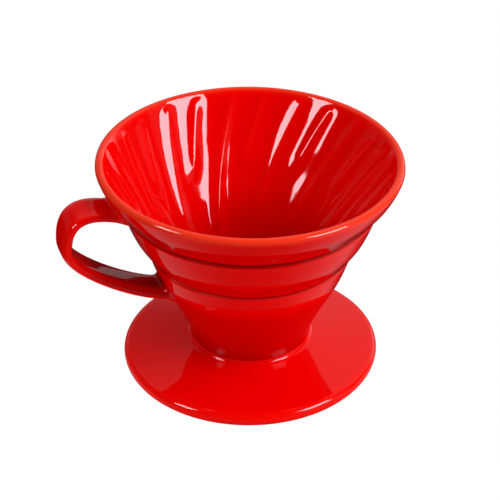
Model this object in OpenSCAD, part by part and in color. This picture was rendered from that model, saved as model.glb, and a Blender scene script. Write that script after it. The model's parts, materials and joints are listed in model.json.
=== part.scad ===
// Pour over coffee dripper in glazed ceramic: a ribbed funnel on a saucer that
// rests on a cup, with a strap handle. It is cast in separate pieces that are
// luted together with slip: the funnel, the saucer, its foot ring and the handle.
// Millimetres, +Z up. The origin is on the axis, in the plane of the saucer's
// underside. The handle points along -X.

/* [Funnel] */
// Outer diameter of the rim
rim_d = 117; // [112:1:120]
// Height of the rim above the saucer's underside
rim_z = 89.5; // [87:0.5:92]
// Thickness of the wall at the rim, which is fully rounded
lip_t = 3.4; // [3:0.1:4]
// Full angle of the paper filter's cone, and so of the inner wall
filter_angle = 60; // [59:0.5:61]
// Diameter of the outlet
outlet_d = 20; // [18:0.5:21]
// Thickness of the tip around the outlet
tip_wall = 4.2; // [3.6:0.1:4.6]
// How far the tip reaches below the saucer's underside
tip_drop = 2; // [1:0.5:3]

/* [Ribs] */
// Number of long ribs; a short one stands between each two
long_ribs = 12; // [8:1:13]
// Height of a rib above the inner wall
rib_h = 0.9; // [0.6:0.1:1.6]
// Width of a rib near the rim
rib_w = 10.4; // [7:0.2:11]
// Angle that a long rib turns through between the rim and the outlet
rib_swirl = 33; // [0:1:40]
// Azimuth of the first long rib at the rim
rib_phase = 17; // [0:1:44]

/* [Saucer] */
// Diameter of the saucer
saucer_d = 102; // [96:1:106]
// Thickness of the saucer's rounded edge
saucer_edge_t = 5.6; // [5:0.1:6]
// Height of the saucer's top where it reaches the neck
saucer_top_z = 9.6; // [9.2:0.1:10]

/* [Foot ring] */
// Outer diameter of the foot ring, which drops into a cup's mouth
ring_d = 60; // [54:1:66]
// Height of the foot ring, below the saucer's underside
ring_h = 5; // [4:0.5:7]
// Thickness of the foot ring
ring_t = 4.5; // [3.5:0.1:6]

/* [Handle] */
// Distance from the axis to the middle of the strap where it is farthest out
handle_reach = 73.5; // [71:0.5:76]
// Width of the strap
handle_w = 15; // [12:0.2:17]
// Thickness of the strap
handle_t = 4.2; // [3.8:0.1:5.2]

/* [Hidden] */
$fn = 96;
glaze_red = [0.78, 0.02, 0.02];
bare_clay = [0.86, 0.80, 0.72];

// Inside of the funnel: a cone that is tangent to the lip's round, down to the outlet's bore.
rim_r = rim_d / 2;
lip_r = lip_t / 2;
outlet_r = outlet_d / 2;
cone_lean = filter_angle / 2;                   // angle of the wall from upright
cone_slope = tan(cone_lean);                    // radius gained per millimetre of height
cone_top_r = rim_r - lip_r * (1 + 1 / cos(cone_lean) - cone_slope);  // carried up to the rim
function cone_r(z) = cone_top_r - (rim_z - z) * cone_slope;
outlet_z = rim_z - (cone_top_r - outlet_r) / cone_slope;

// Outside of the funnel: three bands, one under the other. The first starts at the lip,
// the others at a bead. Each bulges out (bulge) before it turns in to the undercut
// (face), which ends in a groove (foot, groove). Radii are measured in from the rim,
// heights down from it.
function from_rim(inward, down) = [rim_r - inward, rim_z - down];
lip_steps = 8;
bead_r = 0.8;
bead_steps = 3;
bead_end = -17;                                 // where a band leaves its bead, or the lip
bulge_steps = 3;
band_1_bulge = from_rim(1.4, 6.2);
band_1_face = from_rim(3.5, 9.2);
band_1_foot = from_rim(7.3, 14.5);
band_1_groove = from_rim(9.8, 17);
band_2_bead = from_rim(10.1, 18.2);
band_2_bulge = from_rim(11.8, 26.7);
band_2_face = from_rim(14.3, 30.7);
band_2_foot = from_rim(17.3, 35.4);
band_2_groove = from_rim(18.9, 37.3);
band_3_bead = from_rim(19.6, 38.6);
band_3_bulge = from_rim(20.6, 44.6);
band_3_face = from_rim(22.3, 48.7);

// Neck: a bell curve that ends upright, in a socket in the saucer.
neck_r = 23.6;
neck_shoulder = band_3_face - [3.3, 8];         // the curve's two inner control points
neck_knee = [neck_r, 18];
neck_wall = 5;
neck_steps = 9;
socket_z = 4;
collar_z = saucer_top_z + 1.1;                  // top of the fillet around the neck
collar_r = 1.8;                                 // radius of that fillet

// Recess between the tip and the neck's wall. It narrows to a round top.
tip_r = outlet_r + tip_wall;
recess_w = 1.8;
recess_z = 21.5;
recess_mid = [cone_r(recess_z) + (tip_wall + recess_w / 2) / cos(cone_lean), recess_z];
recess_steps = 4;

// Saucer
saucer_edge_r = saucer_edge_t / 2;
saucer_edge_c = [saucer_d / 2 - saucer_edge_r, saucer_edge_r];
saucer_hole_r = neck_r - neck_wall - 1.5;
saucer_fall = atan2(saucer_top_z - saucer_edge_t, saucer_edge_c[0] - neck_r - collar_r);

// Foot ring: its top has a chamfer, and is bedded in a recess of the same shape.
ring_r = ring_d / 2;
ring_bed = 1;                                   // depth of the recess, and of the chamfer
ring_round = 1;                                 // radius of the foot ring's lower edges

// Ribs: where they start and end, and how they taper.
rib_top_z = rim_z - 2.4;
long_rib_end_z = outlet_z + 5;
short_rib_end_z = rim_z - 30;
rib_end_w = 4.6;                                // width of a rib as it would be at the outlet
rib_sink = 0.8;                                 // depth of a rib's foot inside the wall
short_rib_stray = 1;                            // degrees off the middle between two long ribs

// Handle: two cubic curves in the plane of the axis, joined where it is farthest out.
handle_root = 2;                                // how far the ends start inside the wall
handle_top = [rim_r - 6 - handle_root, rim_z - 14.4];
handle_bottom = [rim_r - 22.5 - handle_root, rim_z - 51.2];
handle_far_z = rim_z - 24.8;
handle_upper = [
    handle_top, [rim_r + 6, rim_z - 8.5],
    [handle_reach, rim_z - 9.9], [handle_reach, handle_far_z]
];
handle_lower = [
    [handle_reach, handle_far_z], [handle_reach, rim_z - 33.1],
    [rim_r - 12.4, rim_z - 50.5], handle_bottom
];
handle_steps = 16;                              // steps along each curve
handle_sides = 20;                              // points around the strap
flare_w = 5;                                    // how much wider the strap is at its roots
flare_t = 3.5;                                  // how much thicker it is there
flare_share = 0.22;                             // share of the strap's run that flares

// Points on the arc about c from angle a0 to a1.
function arc(c, r, a0, a1, steps) =
    [for (i = [0:steps]) let (a = a0 + (a1 - a0) * i / steps) c + r * [cos(a), sin(a)]];

// Point at t on the Bezier curve with control points p.
function bezier(p, t) =
    len(p) == 1 ? p[0] : bezier([for (i = [1:len(p) - 1]) p[i - 1] + (p[i] - p[i - 1]) * t], t);

// A solid through rings that have equal numbers of points, closed by flat ends.
module lofted(rings) {
    n = len(rings[0]);
    last = (len(rings) - 1) * n;
    polyhedron(
        points = [for (ring = rings) each ring],
        faces = concat(
            [[for (i = [0:n - 1]) i], [for (i = [n - 1:-1:0]) last + i]],
            [for (k = [0:n:last - n], i = [0:n - 1]) [k + i, k + n + i, k + n + (i + 1) % n]],
            [for (k = [0:n:last - n], i = [0:n - 1]) [k + i, k + n + (i + 1) % n, k + (i + 1) % n]]
        )
    );
}

// Points after the first on the Bezier curve with control points p.
function along(p, steps) = [for (i = [1:steps]) bezier(p, i / steps)];

// An arc and the bulge of the band that starts at its end.
function band(arc_points, bulge, face) =
    concat(arc_points, along([arc_points[len(arc_points) - 1], bulge, face], bulge_steps));

// Outline of the funnel's outside, from the lip down to the foot of the neck.
function funnel_outside() = concat(
    band(
        arc([rim_r - lip_r, rim_z - lip_r], lip_r, 180 - cone_lean, bead_end, lip_steps),
        band_1_bulge, band_1_face
    ),
    [band_1_foot, band_1_groove],
    band(arc(band_2_bead, bead_r, 65, bead_end, bead_steps), band_2_bulge, band_2_face),
    [band_2_foot, band_2_groove],
    band(arc(band_3_bead, bead_r, 65, bead_end, bead_steps), band_3_bulge, band_3_face),
    along([band_3_face, neck_shoulder, neck_knee, [neck_r, collar_z]], neck_steps),
    [[neck_r, socket_z]]
);

// Shell of the funnel without its ribs, turned about the axis.
module funnel_shell() {
    rotate_extrude() polygon(concat(
        funnel_outside(),
        [[neck_r - neck_wall, socket_z], [neck_r - neck_wall, collar_z - 1]],
        arc(recess_mid, recess_w / 2, 0, 180, recess_steps),
        [[tip_r, outlet_z - 2], [tip_r, -tip_drop], [outlet_r, -tip_drop], [outlet_r, outlet_z]]
    ));
}

// Turn of a rib at height z, from none at the rim to rib_swirl at the outlet.
function rib_turn(z) = rib_swirl * (rim_z - z) / (rim_z - outlet_z);

// One rib from the rim down to height end_z. Its section is a low bank with hollow sides.
module rib(azimuth, end_z, steps) {
    side = [[0.5, -1], [0.4, 0.1], [0.27, 0.27], [0.12, 0.62]];
    section = concat([for (p = side) [-p[0], p[1]]], [[0, 1]], [for (i = [3:-1:0]) side[i]]);
    lofted([for (k = [0:steps]) let (
        z = rib_top_z + (end_z - rib_top_z) * k / steps,
        swell = k == 0 || k == steps ? 0.5 : k == 1 || k == steps - 1 ? 0.85 : 1,
        w = rib_end_w + (rib_w - rib_end_w) * (z - outlet_z) / (rib_top_z - outlet_z)
    ) [for (p = section) let (
        h = p[1] < 0 ? -rib_sink : p[1] * rib_h * swell,
        r = cone_r(z) - h * cos(cone_lean),
        a = azimuth + rib_turn(z) + asin(p[0] * w / r)
    ) [r * cos(a), r * sin(a), z + h * sin(cone_lean)]]]);
}

module funnel() {
    color(glaze_red) union() {
        funnel_shell();
        for (i = [0:long_ribs - 1]) {
            rib(rib_phase + 360 * i / long_ribs, long_rib_end_z, 10);
            rib(rib_phase + short_rib_stray + 360 * (i + 0.5) / long_ribs, short_rib_end_z, 6);
        }
    }
}

module saucer() {
    color(glaze_red) rotate_extrude() polygon(concat(
        [[ring_r, 0], [ring_r - ring_bed, ring_bed], [saucer_hole_r, ring_bed]],
        [[saucer_hole_r, socket_z], [neck_r, socket_z]],
        arc([neck_r + collar_r, saucer_top_z + collar_r * cos(saucer_fall)],
            collar_r, 205, 270 - saucer_fall, 6),
        arc(saucer_edge_c, saucer_edge_r, 90 - saucer_fall, -90, 12)
    ));
}

module foot_ring() {
    color(bare_clay) rotate_extrude() polygon(concat(
        [[ring_r - ring_t, ring_bed]],
        arc([ring_r - ring_t + ring_round, ring_round - ring_h], ring_round, 180, 270, 4),
        arc([ring_r - ring_round, ring_round - ring_h], ring_round, 270, 360, 4),
        [[ring_r, 0], [ring_r - ring_bed, ring_bed]]
    ));
}

// Centre line of the handle, as [distance from the axis, z], for s from 0 to 2.
function handle_line(s) = s < 1 ? bezier(handle_upper, s) : bezier(handle_lower, s - 1);

// Ring of points around the strap at s: a rounded oblong square to the centre line.
function strap_ring(s) =
    let (
        step = 0.01,
        ahead = handle_line(min(s + step, 2)) - handle_line(max(s - step, 0)),
        out = [-ahead[1], ahead[0]] / norm(ahead),
        near = max(0, 1 - min(s, 2 - s) / (2 * flare_share)),
        half_w = (handle_w + flare_w * near * near) / 2,
        half_t = (handle_t + flare_t * near * near) / 2,
        c = handle_line(s)
    )
    [for (i = [0:handle_sides - 1]) let (
        a = 360 * i / handle_sides,
        across = half_w * sign(cos(a)) * pow(abs(cos(a)), 0.55),
        up = half_t * sign(sin(a)) * pow(abs(sin(a)), 0.75)
    ) [-(c[0] + up * out[0]), -across, c[1] + up * out[1]]];

// Everything within the funnel's outside, which the handle's roots are cut to.
module funnel_filled() {
    rotate_extrude() polygon(concat([[0, rim_z]], funnel_outside(), [[0, socket_z]]));
}

module handle() {
    color(glaze_red) difference() {
        lofted([for (k = [0:2 * handle_steps]) strap_ring(k / handle_steps)]);
        funnel_filled();
    }
}

funnel();
saucer();
foot_ring();
handle();
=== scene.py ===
"""Looks of the pour over dripper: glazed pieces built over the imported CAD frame, in soft studio light.

Lengths on the object are millimetres, and MM turns them into metres. Lights and the floor are placed
in metres. Azimuth is counted counter-clockwise from +X, seen from above. The handle points along -X.
"""

import json
import math

import bpy
import numpy as np
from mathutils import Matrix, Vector

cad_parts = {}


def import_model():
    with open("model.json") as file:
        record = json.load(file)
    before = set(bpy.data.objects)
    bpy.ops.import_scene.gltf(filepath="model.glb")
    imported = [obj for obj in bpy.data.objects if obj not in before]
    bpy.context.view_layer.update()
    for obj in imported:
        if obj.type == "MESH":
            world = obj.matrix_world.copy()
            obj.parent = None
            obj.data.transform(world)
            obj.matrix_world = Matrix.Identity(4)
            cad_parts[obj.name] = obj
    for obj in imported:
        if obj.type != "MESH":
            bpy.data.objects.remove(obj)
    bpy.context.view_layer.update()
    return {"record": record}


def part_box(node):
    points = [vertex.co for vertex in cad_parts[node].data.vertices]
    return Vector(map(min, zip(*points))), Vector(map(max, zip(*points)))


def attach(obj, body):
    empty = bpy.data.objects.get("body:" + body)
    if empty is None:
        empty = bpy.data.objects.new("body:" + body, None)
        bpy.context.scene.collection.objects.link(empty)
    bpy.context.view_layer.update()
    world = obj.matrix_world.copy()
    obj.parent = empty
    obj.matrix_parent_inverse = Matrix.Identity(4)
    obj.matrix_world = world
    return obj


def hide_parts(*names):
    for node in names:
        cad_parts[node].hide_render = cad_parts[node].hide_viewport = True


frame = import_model()
MM = 0.001


def span(node, axis):
    """Lowest and highest coordinate of a CAD node along an axis, in millimetres."""
    low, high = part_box(node)
    return low[axis] / MM, high[axis] / MM


# ---------------------------------------------------------------- sizes, from the frame
RIM_R = span("funnel", 0)[1]
TIP_Z, RIM_Z = span("funnel", 2)
SAUCER_R = span("saucer", 0)[1]
RING_R = span("foot_ring", 0)[1]
RING_Z = span("foot_ring", 2)[0]
STRAP_W = 15.0
STRAP_T = 4.2
HANDLE_REACH = -span("handle", 0)[0] - STRAP_T / 2     # to the middle of the strap
OUTLET_R = next(m["dims"]["r_mm"] for m in frame["record"]["mounts"] if m["name"] == "outlet")

# ---------------------------------------------------------------- funnel
LIP_R = 1.7
CONE_LEAN = math.radians(30)
CONE_SLOPE = math.tan(CONE_LEAN)
CONE_TOP_R = RIM_R - LIP_R * (1 + 1 / math.cos(CONE_LEAN) - CONE_SLOPE)   # the cone, carried up to the rim
OUTLET_Z = RIM_Z - (CONE_TOP_R - OUTLET_R) / CONE_SLOPE
FUNNEL_COLUMNS = 432

# The three bands of the outside, measured (inward, down) from the rim: the bulge and the
# face under it, and then the undercut's foot, its groove and the next band's bead.
BANDS = [
    [(1.4, 6.2), (3.5, 9.2), (7.3, 14.5), (9.8, 17.0), (10.1, 18.2)],
    [(11.8, 26.7), (14.3, 30.7), (17.3, 35.4), (18.9, 37.3), (19.6, 38.6)],
    [(20.6, 44.6), (22.3, 48.7)],
]
BAND_START = -17           # direction in which a band leaves the lip, or its bead
BEAD_R = 0.8
BEAD_TOP = 15              # direction in which a bead starts
FOOT_ROUND = 2.5           # roundings of the undercut's foot and of its groove
GROOVE_ROUND = 0.6

# The neck runs from the third band to its collar on a bell curve, and stands in a socket.
NECK_R = 23.6
NECK_WALL = 5.0
NECK_SHOULDER = (3.3, 8.0)     # the curve's first inner control point, inward and down
NECK_KNEE_Z = 18.0             # height of the second one
COLLAR_Z = 10.7
SOCKET_Z = 4.0

# Tip around the outlet, and the recess between it and the neck's wall.
TIP_WALL = 4.2
TIP_R = OUTLET_R + TIP_WALL
TIP_ROUND = 0.8
RECESS_R = 0.9             # half the recess's width at its round top
RECESS_TOP = 21.5
HOLLOW_Z = 9.5             # the neck's hollow is straight up to here, and then narrows

# Hand-made unevenness of the funnel's walls.
SWAY = 0.05
SWAY_SIZE = 17.0
SWAY_SEED = 5
SWAY_FOOT = 24             # the walls are even below this height
OUTSIDE_SWAY = -0.6        # share of it on the outside, the other way round

# The rim is slightly out of level: rise per millimetre along X and Y, growing with height.
TILT = (-0.0074, 0.0107)
TILT_FOOT = 12.0

# ---------------------------------------------------------------- ribs
LONG_RIBS = 12
RIB_PITCH = 360 / LONG_RIBS
RIB_PHASE = 17.0
SHORT_RIB_STRAY = 1.0      # degrees from the middle between two long ribs
RIB_H = 0.85
RIB_W = 10.4
RIB_SHARE = 0.9            # the widest a rib gets, as a share of the distance between long ribs
RIB_CREST = 0.05           # sharpness of a rib's crest and hollowness of its flanks, see rib_section
RIB_FLANK = 1.4
RIB_SWIRL = 33.0
RIB_TOP = RIM_Z - 1.9
RIB_RISE = 5.0             # height over which a rib rises under the rim
LONG_RIB_END = OUTLET_Z + 3.0
LONG_RIB_FADE = 8.0        # height over which a rib fades out at its end
SHORT_RIB_END = RIB_TOP - 29.0
SHORT_RIB_FADE = 10.0

# ---------------------------------------------------------------- saucer and foot ring
EDGE_R = 2.8
SAUCER_TOP_Z = 9.6
SAUCER_HOLE_R = NECK_R - NECK_WALL - 1.5
SAUCER_COLUMNS = 384
COLLAR_R = 2.2
COLLAR_OVERLAP = 0.15      # how far the collar reaches into the neck's wall
SAUCER_WARP = 0.45         # rise of the edge to the right of the camera, and its fall to the left
SAUCER_WAVE = 0.12         # height of two shallow waves around the edge
RING_BED = 1.0             # the foot ring is bedded this deep in the saucer
RING_WALL = 4.5
RING_ROUND = 1.0
RING_COLUMNS = 288

# ---------------------------------------------------------------- handle
STRAP_STATIONS = 220
STRAP_SIDES = 72
STRAP_FILLET = 3.2         # radius of the fillet where the strap meets the funnel

# ---------------------------------------------------------------- glaze
# "thin" is a number on each vertex: above 0 the glaze has run thin and is paler, below 0 it is deep and
# dark. Painted shade is also subtracted from it, darkening the undercuts, the neck, the cone towards the
# outlet and the handle's lower arm and upper root. These are its amounts.
BEND_REACH = 1.3           # distance over which the surface's bend is averaged
CREST_THIN = 0.25          # on the crests of the ribs, in the upper half of the cone
OUTSIDE_PAINTED_SHADE = 0.14        # painted shade in the undercuts and on the neck
CONE_PAINTED_SHADE = 0.18           # painted shade towards the outlet
SAUCER_THIN = 0.40         # on the saucer's edge, for each unit of bend
STRAP_EDGE_THIN = 0.22
# painted shade on the handle's lower arm and near its upper root
STRAP_PAINTED_SHADE = 0.21


def arc(centre, radius, a0, a1, steps):
    """Points on an arc, from angle a0 to a1 in degrees."""
    a = np.radians(np.linspace(a0, a1, steps + 1))
    return [(centre[0] + radius * math.cos(t), centre[1] + radius * math.sin(t)) for t in a]


def bezier(points, t):
    """Point at each t on the Bezier curve of the control points."""
    layer = [np.outer(np.ones_like(t), p) for p in points]
    while len(layer) > 1:
        layer = [a + (b - a) * t[:, None] for a, b in zip(layer, layer[1:])]
    return layer[0]


def rounded(corners, steps=6):
    """Polyline through corners (x, y, radius), each one but the first and last turned on an arc."""
    pts = [np.array(corners[0][:2], float)]
    for before, here, after in zip(corners, corners[1:], corners[2:]):
        p, radius = np.array(here[:2], float), here[2]
        u = np.array(before[:2]) - p
        v = np.array(after[:2]) - p
        lu, lv = np.linalg.norm(u), np.linalg.norm(v)
        u, v = u / lu, v / lv
        half = math.acos(max(-1.0, min(1.0, float(u @ v)))) / 2
        if radius <= 0 or half > math.radians(89.5):
            pts.append(p)
            continue
        cut = min(radius / math.tan(half), 0.48 * lu, 0.48 * lv)
        radius = cut * math.tan(half)
        centre = p + (u + v) / np.linalg.norm(u + v) * radius / math.sin(half)
        a, b = p + u * cut - centre, p + v * cut - centre
        turn = math.pi - 2 * half
        for k in range(steps + 1):
            w = k / steps
            d = (math.sin((1 - w) * turn) * a + math.sin(w * turn) * b) / math.sin(turn)
            pts.append(centre + d)
    pts.append(np.array(corners[-1][:2], float))
    return pts


def resample(points, step):
    """The polyline with long stretches filled in, so that no gap is longer than step."""
    out = [np.array(points[0], float)]
    for a, b in zip(points, points[1:]):
        a, b = np.array(a, float), np.array(b, float)
        length = np.linalg.norm(b - a)
        if length < 1e-6:
            continue
        n = max(1, math.ceil(length / step))
        out += [a + (b - a) * k / n for k in range(1, n + 1)]
    return np.array(out)


def from_rim(place):
    """[r, z] of a place given as (inward, down) from the rim."""
    return RIM_R - place[0], RIM_Z - place[1]


def funnel_outside():
    """Outside of the funnel, from the top of the lip down to the foot of the neck, as [r, z]."""
    line = arc((RIM_R - LIP_R, RIM_Z - LIP_R), LIP_R, 90, BAND_START, 12)
    for band in BANDS:
        bulge, face, *undercut = [from_rim(place) for place in band]
        line += [tuple(p) for p in bezier([line[-1], bulge, face], np.linspace(0, 1, 9))[1:]]
        if undercut:
            foot, groove, bead = undercut
            bead_arc = arc(bead, BEAD_R, BEAD_TOP, BAND_START, 4)
            corners = [(*face, 0), (*foot, FOOT_ROUND), (*groove, GROOVE_ROUND), (*bead_arc[0], 0)]
            line += [tuple(p) for p in rounded(corners)[1:]]
            line += bead_arc[1:]
    top = np.array(line[-1])
    controls = [top, top - NECK_SHOULDER, (NECK_R, NECK_KNEE_Z), (NECK_R, COLLAR_Z)]
    neck = bezier(controls, np.linspace(0, 1, 26))
    return resample(line + [tuple(p) for p in neck[1:]] + [(NECK_R, SOCKET_Z)], 2.4)


def cone_r(z):
    """Radius of the inner cone at height z."""
    return CONE_TOP_R - (RIM_Z - z) * CONE_SLOPE


def swirl(z):
    """Turn of the ribs at height z, in degrees, counted from the rim."""
    return RIB_SWIRL * (RIM_Z - z) / (RIM_Z - OUTLET_Z)


def ease(x):
    """0 below 0, 1 above 1, and a smooth step between."""
    x = np.clip(x, 0, 1)
    return x * x * (3 - 2 * x)


def rib_section(x):
    """Height of a rib across its width, x from 0 at the crest to 1 at its foot: hollow flanks."""
    flank = 1 - (np.sqrt(x * x + RIB_CREST ** 2) - RIB_CREST) / (math.sqrt(1 + RIB_CREST ** 2) - RIB_CREST)
    return (1 + RIB_FLANK) * flank * flank / (flank + RIB_FLANK)


def rib_relief(azimuth, z):
    """Height of the ribs above the cone at each azimuth (degrees, swirl taken out) and height z."""
    under_rim = np.clip((RIB_TOP - z) / RIB_RISE, 0, 1)
    under_rim = np.sqrt(under_rim * (2 - under_rim))
    width = np.minimum(RIB_W, RIB_SHARE * np.radians(RIB_PITCH) * cone_r(z))
    relief = 0
    for first, end, fade in (
        (RIB_PHASE, LONG_RIB_END, LONG_RIB_FADE),
        (RIB_PHASE + RIB_PITCH / 2 + SHORT_RIB_STRAY, SHORT_RIB_END, SHORT_RIB_FADE),
    ):
        place = (azimuth - first) / RIB_PITCH
        off = np.radians((place - np.round(place)) * RIB_PITCH) * cone_r(z)
        rise = under_rim * ease((z - end) / fade)
        relief = np.maximum(relief, rise * rib_section(np.clip(np.abs(off) / (width / 2), 0, 1)))
    return RIB_H * relief


def new_piece(name, points, faces):
    mesh = bpy.data.meshes.new(name)
    mesh.from_pydata([tuple(p) for p in points], [], faces)
    mesh.polygons.foreach_set("use_smooth", [True] * len(mesh.polygons))
    mesh.update()
    obj = bpy.data.objects.new(name, mesh)
    bpy.context.scene.collection.objects.link(obj)
    return obj


def torus_faces(rows, cols):
    """Quads over a grid whose rows and columns both close on themselves."""
    i, j = np.meshgrid(np.arange(rows), np.arange(cols), indexing="ij")
    ni, nj = (i + 1) % rows, (j + 1) % cols
    quads = np.stack([i * cols + j, ni * cols + j, ni * cols + nj, i * cols + nj], -1)
    return quads.reshape(-1, 4).tolist()


def add_value(obj, name, values):
    """A number on each vertex that a material can read."""
    layer = obj.data.attributes.new(name, "FLOAT", "POINT")
    layer.data.foreach_set("value", np.asarray(values, np.float32).ravel())


def waves(points, size, seed, count=14):
    """Smooth random undulation, about -1 to 1, with bumps about size millimetres across."""
    rng = np.random.default_rng(seed)
    total = np.zeros(points.shape[:-1])
    for _ in range(count):
        direction = rng.normal(size=3)
        direction *= 2 * math.pi / size / np.linalg.norm(direction) * rng.uniform(0.6, 1.4)
        total += np.sin(points @ direction + rng.uniform(0, 2 * math.pi))
    return total / math.sqrt(count / 2) / 2


def profile_bend(profile):
    """Turn to the right per millimetre along a closed profile; the funnel's convex edges turn right."""
    before = profile - np.roll(profile, 1, 0)
    after = np.roll(profile, -1, 0) - profile
    lb, la = np.linalg.norm(before, axis=1), np.linalg.norm(after, axis=1)
    cross = before[:, 0] * after[:, 1] - before[:, 1] * after[:, 0]
    angle = np.arctan2(cross, (before * after).sum(1))
    return -angle / np.maximum((lb + la) / 2, 1e-6)


def smoothed_along(values, profile, reach):
    """Average of values along a closed profile, with a Gaussian of the given reach."""
    steps = np.linalg.norm(np.roll(profile, -1, 0) - profile, axis=1)
    place = np.concatenate([[0], np.cumsum(steps)[:-1]])
    total = steps.sum()
    gap = np.abs(place[:, None] - place[None, :])
    gap = np.minimum(gap, total - gap)
    share = (steps + np.roll(steps, 1)) / 2
    weight = np.exp(-((gap / reach) ** 2)) * share[None, :]
    return weight @ values / weight.sum(1)


def revolved(profile, columns, turn=None, stand_off=None):
    """Points of a piece turned about the axis. profile is a closed loop of [r, z], turn gives
    each row's twist in degrees, and stand_off(azimuth) how far the points stand off, as dr, dz."""
    azimuth = np.arange(columns) * 360 / columns
    twist = np.zeros(len(profile)) if turn is None else turn
    r = np.repeat(profile[:, :1], columns, 1)
    z = np.repeat(profile[:, 1:], columns, 1)
    if stand_off is not None:
        dr, dz = stand_off(azimuth)
        r, z = r + dr, z + dz
    a = np.radians(azimuth[None, :] + twist[:, None])
    return np.stack([r * np.cos(a), r * np.sin(a), z], -1)


def leaned(points):
    """The points with the rim's slight tilt, which fades to none at the saucer."""
    share = np.clip((points[..., 2] - TILT_FOOT) / (RIM_Z - TILT_FOOT), 0, 1.2)
    points[..., 2] += share * (TILT[0] * points[..., 0] + TILT[1] * points[..., 1])
    return points


def funnel_profile():
    """Closed outline of the funnel as [r, z]: outside, underside, bore, cone and lip. Given with the
    row at which the underside starts and with the rows of the cone, which carry the ribs."""
    outside = funnel_outside()
    hollow_r = NECK_R - NECK_WALL
    recess = (cone_r(RECESS_TOP) + (TIP_WALL + RECESS_R) / math.cos(CONE_LEAN), RECESS_TOP)
    under = [(hollow_r, SOCKET_Z), (hollow_r, HOLLOW_Z)] + arc(recess, RECESS_R, 0, 180, 6)
    under += [(TIP_R, OUTLET_Z - 2), (TIP_R, TIP_Z + TIP_ROUND)]
    under += arc((TIP_R - TIP_ROUND, TIP_Z + TIP_ROUND), TIP_ROUND, 0, -90, 3)[1:]
    under += arc((OUTLET_R + TIP_ROUND, TIP_Z + TIP_ROUND), TIP_ROUND, -90, -180, 3)
    under = resample(under, 3.5)
    bore = resample([under[-1], (OUTLET_R, OUTLET_Z)], 2.0)[1:]
    lip = arc((RIM_R - LIP_R, RIM_Z - LIP_R), LIP_R, 150, 90, 6)
    cone_z = OUTLET_Z + (lip[0][1] - OUTLET_Z) * np.linspace(0, 1, 84)[1:-1]
    cone = np.stack([cone_r(cone_z), cone_z], -1)
    profile = np.vstack([outside, under[1:], bore, cone, np.array(lip[:-1])])
    first = len(outside) + len(under) - 1 + len(bore)
    return profile, len(outside), slice(first, first + len(cone))


def funnel_glaze_and_shade(profile, relief, ribbed):
    """How thin the glaze is at each point of the funnel, from its outline and the ribs' relief, with
    painted shade taken off in the undercuts, on the neck and towards the outlet.
    """
    z = profile[:, 1:]
    bend = smoothed_along(profile_bend(profile), profile, BEND_REACH)
    crest = CREST_THIN * (relief / RIB_H) ** 6 * ease((z - 45) / 30)
    step = np.roll(profile, -1, 0) - profile
    upright = np.abs(step[:, 1:]) / np.linalg.norm(step, axis=1)[:, None]
    # Painted shade: darker on the down-facing undercuts and the neck, and in the cone towards the outlet.
    undercut = ease((0.92 - upright) / 0.08) * (z < RIM_Z - 8)
    neck = ease((46 - z) / 8)
    painted_shade = OUTSIDE_PAINTED_SHADE * np.maximum(undercut, neck)
    painted_shade[ribbed] = CONE_PAINTED_SHADE * ease((66 - z[ribbed]) / 30)
    return bend[:, None] + crest - painted_shade


def build_funnel():
    profile, under, ribbed = funnel_profile()
    rows = len(profile)
    cone_z = profile[ribbed, 1]
    twist = np.zeros(rows)
    twist[ribbed] = swirl(cone_z)
    twist[under:ribbed.start] = np.linspace(0, swirl(OUTLET_Z), ribbed.start - under)
    relief = np.zeros((rows, FUNNEL_COLUMNS))

    def stand_off(azimuth):
        relief[ribbed] = rib_relief(azimuth[None, :], cone_z[:, None])
        smooth = revolved(profile, FUNNEL_COLUMNS, twist)
        sway = SWAY * waves(smooth, SWAY_SIZE, SWAY_SEED) * (profile[:, 1:] > SWAY_FOOT)
        sway[:under] *= OUTSIDE_SWAY
        lift = relief + sway
        return -lift * math.cos(CONE_LEAN), lift * math.sin(CONE_LEAN)

    points = leaned(revolved(profile, FUNNEL_COLUMNS, twist, stand_off))
    obj = new_piece("glazed_funnel", (points * MM).reshape(-1, 3), torus_faces(rows, FUNNEL_COLUMNS))
    add_value(obj, "thin", funnel_glaze_and_shade(profile, relief, ribbed))
    return obj


def saucer_profile():
    """Closed outline of the saucer as [r, z]."""
    fall = math.atan2(SAUCER_TOP_Z - 2 * EDGE_R, SAUCER_R - EDGE_R - NECK_R - COLLAR_R)
    inside = NECK_R - COLLAR_OVERLAP
    collar = (NECK_R + COLLAR_R, SAUCER_TOP_Z + COLLAR_R * math.cos(fall))
    loop = [(RING_R - RING_BED, RING_BED), (SAUCER_HOLE_R, RING_BED), (SAUCER_HOLE_R, SOCKET_Z)]
    loop += [(inside, SOCKET_Z), (inside, collar[1])]
    loop += arc(collar, COLLAR_R, 180, 270 - math.degrees(fall), 10)
    loop += arc((SAUCER_R - EDGE_R, EDGE_R), EDGE_R, 90 - math.degrees(fall), -90, 24)
    loop += [(RING_R, 0.0), (RING_R - RING_BED, RING_BED)]
    return resample(loop[::-1], 1.6)[:-1]


def build_saucer():
    profile = saucer_profile()
    points = revolved(profile, SAUCER_COLUMNS)
    r = np.hypot(points[..., 0], points[..., 1])
    a = np.arctan2(points[..., 1], points[..., 0])
    out = np.clip((r - RING_R) / (SAUCER_R - RING_R), 0, 1) ** 2
    points[..., 2] += SAUCER_WARP * out * np.cos(a - math.radians(CAMERA_TURN))
    points[..., 2] += SAUCER_WAVE * out * np.cos(2 * a + 1.0)
    faces = torus_faces(len(profile), SAUCER_COLUMNS)
    obj = new_piece("glazed_saucer", (points * MM).reshape(-1, 3), faces)
    # This outline runs the other way round, so a convex edge has a negative bend.
    bend = profile_bend(profile)
    bend[profile[:, 0] < NECK_R + COLLAR_R] = 0
    bend = smoothed_along(bend, profile, BEND_REACH)
    add_value(obj, "thin", np.repeat(-SAUCER_THIN * bend[:, None], SAUCER_COLUMNS, 1))
    return obj


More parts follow.
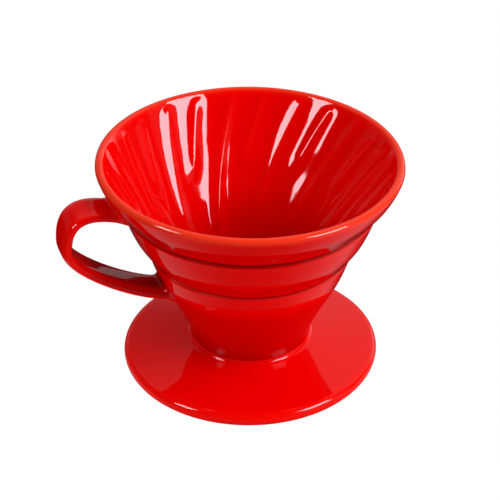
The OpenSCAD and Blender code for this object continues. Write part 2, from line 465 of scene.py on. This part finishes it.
def build_foot_ring():
    inner = RING_R - RING_WALL
    loop = [(inner, RING_BED)]
    loop += arc((inner + RING_ROUND, RING_Z + RING_ROUND), RING_ROUND, 180, 270, 6)
    loop += arc((RING_R - RING_ROUND, RING_Z + RING_ROUND), RING_ROUND, 270, 360, 6)
    loop += [(RING_R, 0.0), (RING_R - RING_BED, RING_BED), (inner, RING_BED)]
    profile = resample(loop[::-1], 0.9)[:-1]
    points = revolved(profile, RING_COLUMNS)
    faces = torus_faces(len(profile), RING_COLUMNS)
    return new_piece("foot_ring_bisque", (points * MM).reshape(-1, 3), faces)


def strap_line(s):
    """Centre line of the strap as [distance from the axis, z] for s from 0 to 2."""
    far_z = RIM_Z - 24.8       # where the strap is farthest out
    upper = [
        (RIM_R - 8.0, RIM_Z - 14.4), (RIM_R + 6, RIM_Z - 8.5),
        (HANDLE_REACH, RIM_Z - 9.9), (HANDLE_REACH, far_z),
    ]
    lower = [
        (HANDLE_REACH, far_z), (HANDLE_REACH, RIM_Z - 33.1),
        (RIM_R - 12.4, RIM_Z - 50.5), (RIM_R - 24.5, RIM_Z - 51.2),
    ]
    on_upper, on_lower = np.clip(s, 0, 1), np.clip(s - 1, 0, 1)
    return np.where((s < 1)[:, None], bezier(upper, on_upper), bezier(lower, on_lower))


def strap_section(ca, sa):
    """Outline of the strap, a rounded oblong, and the outward direction at each of its points.
    Both are given as across the strap and up from its middle."""
    across = STRAP_W / 2 * np.sign(ca) * np.abs(ca) ** 0.6
    up = STRAP_T / 2 * np.sign(sa) * np.abs(sa) ** 0.8
    n_across, n_up = np.gradient(up), -np.gradient(across)
    length = np.hypot(n_across, n_up)
    n_across, n_up = n_across / length, n_up / length
    flip = np.sign((across * n_across + up * n_up).sum())
    return across, up, n_across * flip, n_up * flip


def funnel_wall():
    """Function that gives the radius of the funnel's outside at any height below the lip."""
    outside = funnel_outside()
    below_lip = outside[outside[:, 1] < RIM_Z - LIP_R]
    order = np.argsort(below_lip[:, 1])
    wall_z, wall_r = below_lip[order, 1], below_lip[order, 0]
    return lambda z: np.interp(z, wall_z, wall_r)


def filleted(p, n, wall):
    """The strap's points p, pushed along their outward direction n where they near the funnel's
    wall, so that the roots flare on a round fillet."""
    r = np.hypot(p[..., 0], p[..., 1])
    slope = (wall(p[..., 2] + 1.5) - wall(p[..., 2] - 1.5)) / 3.0
    cosine = 1 / np.sqrt(1 + slope ** 2)
    gap = (r - wall(p[..., 2])) * cosine
    normal = np.stack([p[..., 0] / r * cosine, p[..., 1] / r * cosine, -slope * cosine], -1)
    along = n - (n * normal).sum(-1, keepdims=True) * normal
    along /= np.maximum(np.linalg.norm(along, axis=-1, keepdims=True), 1e-6)
    x = np.clip(1 - np.maximum(gap, 0) / STRAP_FILLET, 0, 1)
    push = STRAP_FILLET * (1 - np.sqrt(np.clip(1 - x * x, 0, 1)))
    p = p + along * push[..., None]
    # Set each pushed point back to its own distance from the wall.
    r = np.hypot(p[..., 0], p[..., 1])
    want = wall(p[..., 2]) + gap / cosine
    near = (push > 0) * ease(x * 1.5)
    scale = 1 + near * (want / r - 1)
    p[..., 0] *= scale
    p[..., 1] *= scale
    return p


def tube_faces(rings, sides):
    """Quads between rings of points, with a face over each end."""
    faces = []
    for i in range(rings - 1):
        for j in range(sides):
            m = (j + 1) % sides
            faces.append((i * sides + j, i * sides + m, (i + 1) * sides + m, (i + 1) * sides + j))
    faces.append(tuple(range(sides - 1, -1, -1)))
    faces.append(tuple((rings - 1) * sides + j for j in range(sides)))
    return faces


def build_handle():
    k = np.linspace(-1, 1, STRAP_STATIONS)
    s = 1 + np.sign(k) * np.abs(k) ** 0.85       # a little closer together at the roots
    c = strap_line(s)
    t = strap_line(np.minimum(s + 0.004, 2)) - strap_line(np.maximum(s - 0.004, 0))
    t /= np.linalg.norm(t, axis=1)[:, None]
    out = np.stack([-t[:, 1], t[:, 0]], -1)
    a = np.radians(np.arange(STRAP_SIDES) * 360 / STRAP_SIDES)
    ca, sa = np.cos(a), np.sin(a)
    across, up, n_across, n_up = strap_section(ca, sa)

    def to_space(across, up, origin):
        """Points or directions given across and up from the strap's middle, turned to space."""
        dist = origin[:, None, 0] + up[None, :] * out[:, None, 0]
        z = origin[:, None, 1] + up[None, :] * out[:, None, 1]
        return np.stack([-dist, -np.repeat(across[None, :], STRAP_STATIONS, 0), z], -1)

    points = to_space(across, up, c)
    normals = to_space(n_across, n_up, np.zeros_like(c))
    points = leaned(filleted(points, normals, funnel_wall()))
    faces = tube_faces(STRAP_STATIONS, STRAP_SIDES)
    obj = new_piece("glazed_handle", (points * MM).reshape(-1, 3), faces)
    # The glaze is thin on the strap's edges. Painted shade darkens the strap's lower arm and the part near
    # its upper root.
    edge = STRAP_EDGE_THIN * (np.abs(ca * sa) * 2) ** 2
    painted_shade = 1.6 * ease((s - 1.14) / 0.36) + 0.6 * ease((0.6 - s) / 0.5)
    outer = 0.1 + 0.9 * ease(0.5 - sa)
    add_value(obj, "thin", edge[None, :] - STRAP_PAINTED_SHADE * painted_shade[:, None] * outer[None, :])
    return obj


# ---------------------------------------------------------------- materials
class Nodes:
    """A node tree, built with short calls."""

    def __init__(self, tree):
        self.tree = tree

    def add(self, kind, inputs=None, **settings):
        node = self.tree.nodes.new(kind)
        for key, value in settings.items():
            setattr(node, key, value)
        for key, value in (inputs or {}).items():
            self.put(node, key, value)
        return node

    def put(self, node, key, value):
        if isinstance(value, bpy.types.NodeSocket):
            self.tree.links.new(value, node.inputs[key])
        else:
            node.inputs[key].default_value = value

    def math(self, operation, *values):
        inputs = dict(enumerate(values))
        return self.add("ShaderNodeMath", inputs, operation=operation).outputs[0]

    def plus(self, first, *others):
        for value in others:
            first = self.math("ADD", first, value)
        return first

    def times(self, first, *others):
        for value in others:
            first = self.math("MULTIPLY", first, value)
        return first

    def dot(self, vector, direction):
        node = self.add("ShaderNodeVectorMath", {0: vector, 1: direction}, operation="DOT_PRODUCT")
        return node.outputs["Value"]

    def step(self, value, low, high, to_low=0.0, to_high=1.0):
        """to_low where value is under low, to_high where it is over high, and smooth between."""
        return self.add("ShaderNodeMapRange", {
            "Value": value, "From Min": low, "From Max": high, "To Min": to_low, "To Max": to_high,
        }, interpolation_type="SMOOTHSTEP").outputs["Result"]

    def mix(self, factor, a, b):
        node = self.add("ShaderNodeMix", {"Factor": factor, "A": a, "B": b}, data_type="FLOAT")
        return node.outputs["Result"]

    def seen_once(self, depth, twice=0.0):
        """1 where this is reflected straight to the camera, and twice by way of a second surface.
        depth is the ray's depth after one reflection: 1 on a mesh, and 2 on a light or the world."""
        ray_depth = self.add("ShaderNodeLightPath").outputs["Ray Depth"]
        return self.math("MAXIMUM", self.math("LESS_THAN", ray_depth, depth + 0.5), twice)

    def noise(self, vector, scale, detail):
        """Noise whose features are about 1 / scale metres across."""
        node = self.add("ShaderNodeTexNoise", {"Vector": vector, "Scale": scale, "Detail": detail})
        return node.outputs["Fac"]

    def ramp(self, fac, stops):
        node = self.add("ShaderNodeValToRGB", {"Fac": fac})
        elements = node.color_ramp.elements
        while len(elements) < len(stops):
            elements.new(0.5)
        for element, (place, colour) in zip(elements, stops):
            element.position = place
            element.color = (*colour, 1)
        return node.outputs["Color"]


def new_material(name):
    material = bpy.data.materials.new(name)
    material.use_nodes = True
    nodes = Nodes(material.node_tree)
    return material, nodes, material.node_tree.nodes["Principled BSDF"]


def glaze_material():
    material, m, surface = new_material("red_glaze")
    coords = m.add("ShaderNodeTexCoord").outputs["Object"]
    thin = m.add("ShaderNodeAttribute", attribute_name="thin").outputs["Fac"]
    cloud = m.noise(coords, 38.0, 3.0)
    level = m.plus(thin, 0.28, m.times(cloud, 0.12))
    colour = m.ramp(level, [
        (0.0, (0.27, 0.0, 0.0)),         # deep glaze, and painted shade
        (0.30, (0.74, 0.0, 0.0)),
        (0.38, (0.78, 0.0, 0.0)),
        (0.58, (0.79, 0.004, 0.001)),
        (0.90, (0.83, 0.034, 0.010)),    # thin
    ])
    dimples = m.add("ShaderNodeBump", {
        "Height": m.noise(coords, 120.0, 1.0), "Strength": 0.05, "Distance": 0.001})
    pores = m.add("ShaderNodeBump", {
        "Height": m.noise(coords, 900.0, 2.0), "Strength": 0.02, "Distance": 0.0002,
        "Normal": dimples.outputs["Normal"]})
    m.put(surface, "Base Color", colour)
    m.put(surface, "Roughness", 0.045)
    m.put(surface, "IOR", 1.5)
    m.put(surface, "Normal", pores.outputs["Normal"])
    return material


def clay_material():
    material, m, surface = new_material("bare_clay")
    coords = m.add("ShaderNodeTexCoord").outputs["Object"]
    colour = m.ramp(m.noise(coords, 90.0, 3.0), [(0.3, (0.66, 0.57, 0.46)), (0.7, (0.76, 0.69, 0.58))])
    grain = m.add("ShaderNodeBump", {
        "Height": m.noise(coords, 1800.0, 4.0), "Strength": 0.35, "Distance": 0.0003})
    m.put(surface, "Base Color", colour)
    m.put(surface, "Roughness", 0.85)
    m.put(surface, "Normal", grain.outputs["Normal"])
    return material


# ---------------------------------------------------------------- stage, light and camera
CAMERA_TURN = -19.5        # azimuth the camera stands at, from straight in front
CAMERA_RISE = 33.1
CAMERA_DISTANCE = 631.6
LENS = 116.0
SHIFT = (-0.0004, 0.0132)

TURN = math.radians(CAMERA_TURN)
RIGHT = (math.cos(TURN), math.sin(TURN), 0.0)      # to the camera's right
AWAY = (-math.sin(TURN), math.cos(TURN), 0.0)      # level, away from the camera
UP = (0.0, 0.0, 1.0)

LILAC = (1.0, 0.92, 1.0)
WHITE = (1.0, 1.0, 1.0)
LIGHTS_AIM_Z = 0.05

# Each light's turn counts from the camera's azimuth, positive to its right. Its rise is also in
# degrees, its distance, width and height in metres. A light seen in "gloss" only shows in
# reflections, and one seen in "body" only lights the colour under them.
LIGHTS = [
    dict(name="softbox_right", turn=58.6, rise=33, distance=0.9, width=0.40, height=0.31,
         radiance=13.0, colour=LILAC, seen_in="gloss"),
    dict(name="softbox_left", turn=-62, rise=34.5, distance=0.9, width=0.21, height=0.31,
         radiance=13.0, colour=LILAC, seen_in="gloss"),
    dict(name="key_right", turn=67, rise=43, distance=1.2, width=1.0, height=0.64,
         radiance=6.2, colour=WHITE, seen_in="body"),
]
SOFTBOX_TWICE = 0.3        # brightness of a softbox by way of a second surface
WORLD_TWICE = 0.25         # the same of the surroundings

FLOOR_SIZE = 6.0           # half the floor's width, in metres
FLOOR_SEEN = 1.02          # brightness of the floor and of the backdrop to the camera
BACKDROP_SEEN = 1.05
FLOOR_SHADE = 0.97         # share of the floor's own light, over the shadow that falls on it


def camera():
    data = bpy.data.cameras.new("camera")
    data.lens = LENS
    data.sensor_width = 36.0
    data.shift_x, data.shift_y = SHIFT
    data.clip_start, data.clip_end = 0.01, 20
    obj = bpy.data.objects.new("camera", data)
    bpy.context.scene.collection.objects.link(obj)
    rise = math.radians(CAMERA_RISE)
    back = Vector(AWAY) * -math.cos(rise) + Vector((0, 0, math.sin(rise)))
    obj.location = Vector((0, 0, RIM_Z * MM / 2)) + back * CAMERA_DISTANCE * MM
    obj.rotation_mode = "QUATERNION"
    obj.rotation_quaternion = (-back).to_track_quat("-Z", "Y")
    bpy.context.scene.camera = obj


def softbox(name, turn, rise, distance, width, height, radiance, colour, seen_in):
    """An area light that faces the object."""
    data = bpy.data.lights.new(name, "AREA")
    data.shape = "RECTANGLE"
    data.size, data.size_y = width, height
    data.energy = radiance * math.pi * width * height
    data.color = colour
    obj = bpy.data.objects.new(name, data)
    bpy.context.scene.collection.objects.link(obj)
    a, e = math.radians(turn), math.radians(rise)
    level = Vector(RIGHT) * math.sin(a) - Vector(AWAY) * math.cos(a)
    outward = level * math.cos(e) + Vector(UP) * math.sin(e)
    obj.location = Vector((0, 0, LIGHTS_AIM_Z)) + outward * distance
    obj.rotation_mode = "QUATERNION"
    obj.rotation_quaternion = outward.to_track_quat("Z", "Y")
    if seen_in == "gloss":
        data.use_nodes = True
        m = Nodes(data.node_tree)
        m.put(data.node_tree.nodes["Emission"], "Strength", m.seen_once(2, SOFTBOX_TWICE))
    obj.visible_diffuse = seen_in == "body"
    obj.visible_glossy = seen_in == "gloss"
    obj.visible_camera = False


def floor_in_gloss(m, side, away, length):
    """Brightness of the floor in reflections. side and away say in which direction from the axis a
    place is, from -1 to 1, and length how far it is in metres."""
    cube = m.math("ABSOLUTE", m.math("POWER", side, 3.0))
    flanks = m.times(cube, m.step(side, -0.1, 0.1, 0.25, 0.30))
    spread = m.step(length, 0.05, 0.16, 0.8, 1.6)
    dark_left = m.times(m.step(side, -0.85, -0.65, 1.0, 0.0), m.step(length, 0.10, 0.16))
    dark_beyond = m.step(away, 0.0, 0.5, 1.0, 0.12)
    return m.times(m.plus(flanks, 0.06), spread, m.math("SUBTRACT", 1.0, dark_left), dark_beyond)


def floor_in_body(m, side, away, length):
    """Brightness of the floor as light for the colour under the glaze: a bright ring in front of
    the saucer, over a level that is higher at the sides."""
    front = m.step(away, -0.5, 0.2, 1.0, 0.0)
    ring = m.times(m.step(length, 0.045, 0.065), m.step(length, 0.10, 0.20, 1.0, 0.0))
    level = m.step(m.math("ABSOLUTE", side), 0.4, 0.95, 0.30, 0.65)
    return m.plus(m.times(front, ring), level)


def floor():
    z = RING_Z * MM
    corners = [(x * FLOOR_SIZE, y * FLOOR_SIZE, z) for x, y in ((-1, -1), (1, -1), (1, 1), (-1, 1))]
    mesh = bpy.data.meshes.new("floor")
    mesh.from_pydata(corners, [], [(0, 1, 2, 3)])
    obj = bpy.data.objects.new("floor", mesh)
    bpy.context.scene.collection.objects.link(obj)
    material, m, surface = new_material("floor")
    m.put(surface, "Base Color", (0.8, 0.8, 0.8, 1))
    m.put(surface, "Roughness", 0.9)
    m.put(surface, "Specular IOR Level", 0.0)
    rays = m.add("ShaderNodeLightPath").outputs
    place = m.add("ShaderNodeNewGeometry").outputs["Position"]
    length = m.add("ShaderNodeVectorMath", {0: place}, operation="LENGTH").outputs["Value"]
    side = m.math("DIVIDE", m.dot(place, RIGHT), length)
    away = m.math("DIVIDE", m.dot(place, AWAY), length)
    gloss = m.times(floor_in_gloss(m, side, away, length), m.seen_once(1))
    strength = m.mix(rays["Is Glossy Ray"], floor_in_body(m, side, away, length), gloss)
    glow = m.add("ShaderNodeEmission", {"Strength": strength})
    white = m.add("ShaderNodeEmission", {"Strength": FLOOR_SEEN})
    seen = m.add("ShaderNodeMixShader", {0: FLOOR_SHADE, 1: surface.outputs[0], 2: white.outputs[0]})
    both = m.add("ShaderNodeMixShader", {
        0: rays["Is Camera Ray"], 1: glow.outputs[0], 2: seen.outputs[0]})
    m.tree.links.new(both.outputs[0], m.tree.nodes["Material Output"].inputs["Surface"])
    mesh.materials.append(material)


def world_in_gloss(m, side, away, up):
    """Brightness of the surroundings in reflections: dark behind the camera, apart from a pale patch
    on its right, and paler beyond the object. side, away and up are parts of the direction."""
    left = m.plus(m.step(up, 0.25, 0.42, 0.32, 0.13), m.step(up, 0.55, 0.8, 0.0, 0.14))
    left = m.times(left, m.step(side, -0.75, -0.45, 0.25, 1.0))
    strip = m.times(m.step(side, 0.40, 0.55, 0.0, 0.8), m.step(side, 0.75, 0.88, 1.0, 0.0))
    low_right = m.times(strip, m.step(up, 0.20, 0.34, 1.0, 0.0))
    right = m.plus(low_right, m.step(side, 0.75, 0.9, 0.42, 0.05))
    beyond = m.times(m.step(away, 0.0, 0.4), m.mix(m.step(side, -0.09, 0.09), left, right))
    behind = m.times(m.step(side, 0.6, 0.8, 0.0, 0.22), m.step(away, -0.1, 0.1, 1.0, 0.0))
    return m.plus(behind, beyond)


def world_in_body(m, side, up):
    """Brightness of the surroundings as light for the colour under the glaze."""
    low = m.plus(m.step(side, -0.6, -0.2, 0.85, 0.42), m.step(side, 0.2, 0.6, 0.0, 0.50))
    high = m.step(side, -0.5, 0.1, 0.86, 0.37)
    return m.mix(m.step(up, 0.35, 0.65), low, high)


def world():
    w = bpy.data.worlds.new("world")
    bpy.context.scene.world = w
    w.use_nodes = True
    w.cycles.sampling_method = "NONE"
    m = Nodes(w.node_tree)
    rays = m.add("ShaderNodeLightPath").outputs
    direction = m.add("ShaderNodeTexCoord").outputs["Generated"]
    side, away, up = m.dot(direction, RIGHT), m.dot(direction, AWAY), m.dot(direction, UP)
    gloss = m.times(world_in_gloss(m, side, away, up), m.seen_once(2, WORLD_TWICE))
    strength = m.mix(rays["Is Glossy Ray"], world_in_body(m, side, up), gloss)
    strength = m.mix(rays["Is Camera Ray"], strength, BACKDROP_SEEN)
    m.put(w.node_tree.nodes["Background"], "Color", (*WHITE, 1))
    m.put(w.node_tree.nodes["Background"], "Strength", strength)


def main():
    glaze, clay = glaze_material(), clay_material()
    for build, node, material, slot in (
        (build_funnel, "funnel", glaze, "red_glaze"),
        (build_saucer, "saucer", glaze, "red_glaze"),
        (build_foot_ring, "foot_ring", clay, "bare_clay"),
        (build_handle, "handle", glaze, "red_glaze"),
    ):
        piece = build()
        piece.data.materials.append(material)
        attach(piece, "root")
        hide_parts(node)
    floor()
    world()
    for light in LIGHTS:
        softbox(**light)
    camera()
    bpy.context.scene.view_settings.view_transform = "Standard"


main()
